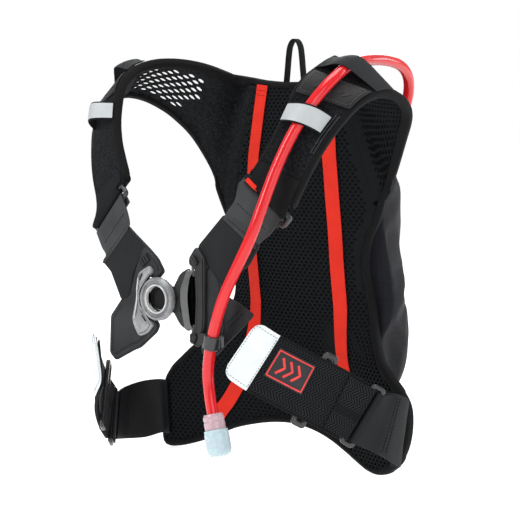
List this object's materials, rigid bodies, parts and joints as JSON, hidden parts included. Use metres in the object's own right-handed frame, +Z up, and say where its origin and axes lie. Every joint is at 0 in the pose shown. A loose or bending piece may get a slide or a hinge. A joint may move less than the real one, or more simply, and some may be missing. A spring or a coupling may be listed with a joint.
{
  "type": "hydration pack",
  "caption": "Low-profile hydration pack: foam back panel with waist wings, zipped fabric body, four-point harness with a chest ring buckle, reservoir and drinking hose.",
  "frame": {"origin": "centre of the back panel's front face, on the wearer's spine", "axes": "+Z up, +X towards the wearer's left, -Y towards the wearer, +Y towards the pack body"},
  "size_m": [0.3468, 0.2884, 0.4198],
  "materials": {
    "spacer_mesh": "open hexagonal spacer mesh over black foam",
    "foam_mesh": "brushed mesh over perforated foam",
    "webbing": "woven tape with a fine rib",
    "red_elastic": "flat knitted elastic",
    "pack_cloth": "satin ripstop nylon",
    "liner_cloth": "thin coated lining",
    "coated_fabric": "matt rubber-coated fabric",
    "reflective": "silver-white reflective film",
    "strap_mesh": "chevron-knitted mesh",
    "label": "moulded label with a red frame",
    "black_plastic": "fine moulded texture",
    "grey_plastic": "matt mid grey",
    "clear_plastic": "smoky translucent",
    "hose_red": "glossy translucent red",
    "rubber": "matt",
    "bladder_film": "clear film",
    "milky_plastic": "milky translucent",
    "silicone_blue": "soft translucent"
  },
  "bodies": {
    "pack": {"back_mesh": "spacer_mesh", "back_panel_foam": "foam_mesh", "compartment_liner": "liner_cloth", "edge_binding": "webbing", "elastic_bands": "red_elastic", "feeder_hose": "hose_red", "hang_loop": "webbing", "hose_over_shoulder": "hose_red", "hose_port": "rubber", "pack_shell": "pack_cloth", "quick_coupling": "black_plastic", "reservoir_bladder": "bladder_film", "reservoir_closure_bar": "black_plastic", "reservoir_hanger": "webbing", "shoulder_yoke_left": "foam_mesh", "shoulder_yoke_right": "foam_mesh", "wing_webbing_left": "webbing", "wing_webbing_right": "webbing", "zipper_tape": "webbing"},
    "harness_left": {"shoulder_strap_left": "foam_mesh", "shoulder_patch_left": "coated_fabric", "reflective_loop_left": "reflective", "hose_keeper_left": "webbing", "shoulder_loop_left": "black_plastic", "shoulder_webbing_left": "coated_fabric", "chest_wing_left": "coated_fabric", "waist_strap_left": "strap_mesh", "waist_tab_left": "reflective", "waist_label": "label", "waist_loop_left": "black_plastic", "waist_slider_left": "black_plastic", "waist_elastic_left": "webbing", "waist_webbing_left": "webbing", "tongue_base": "black_plastic", "hose_clip": "black_plastic", "drinking_hose": "hose_red", "valve_collar": "milky_plastic", "bite_piece": "silicone_blue"},
    "harness_right": {"shoulder_strap_right": "foam_mesh", "shoulder_patch_right": "coated_fabric", "reflective_loop_right": "reflective", "hose_keeper_right": "webbing", "shoulder_loop_right": "black_plastic", "shoulder_webbing_right": "coated_fabric", "chest_wing_right": "coated_fabric", "waist_strap_right": "strap_mesh", "waist_tab_right": "reflective", "waist_loop_right": "black_plastic", "waist_slider_right": "black_plastic", "waist_elastic_right": "webbing", "waist_webbing_right": "webbing", "buckle_bracket": "clear_plastic", "buckle_ring": "clear_plastic"},
    "tongue": {"tongue_plate": "black_plastic", "tongue_bow": "grey_plastic"},
    "button": {"release_button": "black_plastic"},
    "bite_cover": {"valve_cover": "milky_plastic"},
    "zip_slider": {"zipper_slider": "black_plastic"},
    "zip_pull": {"zipper_pull": "black_plastic"},
    "key": {"coupling_key": "grey_plastic"}
  },
  "joints": [
    {"name": "harness_right_swing", "type": "hinge", "parent": "pack", "child": "harness_right", "pos_m": [-0.135, -0.072, 0], "axis": [0, 0, -1], "range_deg": [0, 45]},
    {"name": "harness_left_swing", "type": "hinge", "parent": "pack", "child": "harness_left", "pos_m": [0.135, -0.072, 0], "axis": [0, 0, 1], "range_deg": [0, 31.5]},
    {"name": "tongue_hinge", "type": "hinge", "parent": "harness_left", "child": "tongue", "pos_m": [0.0242, -0.1805, -0.028], "axis": [0, 0, -1], "range_deg": [0, 18]},
    {"name": "release_press", "type": "slide", "parent": "tongue", "child": "button", "axis": [0, 1, 0], "range_m": [0, 0.002], "stiffness_N_per_m": 400},
    {"name": "bite_cover_pull", "type": "slide", "parent": "harness_left", "child": "bite_cover", "axis": [0.2587, -0.0173, -0.9658], "range_m": [0, 0.03]},
    {"name": "zip_run", "type": "slide", "parent": "pack", "child": "zip_slider", "axis": [1, 0, 0], "range_m": [0, 0.076]},
    {"name": "zip_pull_swing", "type": "hinge", "parent": "zip_slider", "child": "zip_pull", "pos_m": [-0.038, 0.08135, 0.063], "axis": [1, 0, 0], "range_deg": [0, 80]},
    {"name": "coupling_release", "type": "slide", "parent": "pack", "child": "key", "axis": [0, -1, 0], "range_m": [0, 0.0015], "stiffness_N_per_m": 600}
  ],
  "couplings": [
    {"joint": "harness_left_swing", "follows": "harness_right_swing", "ratio": 0.7}
  ]
}
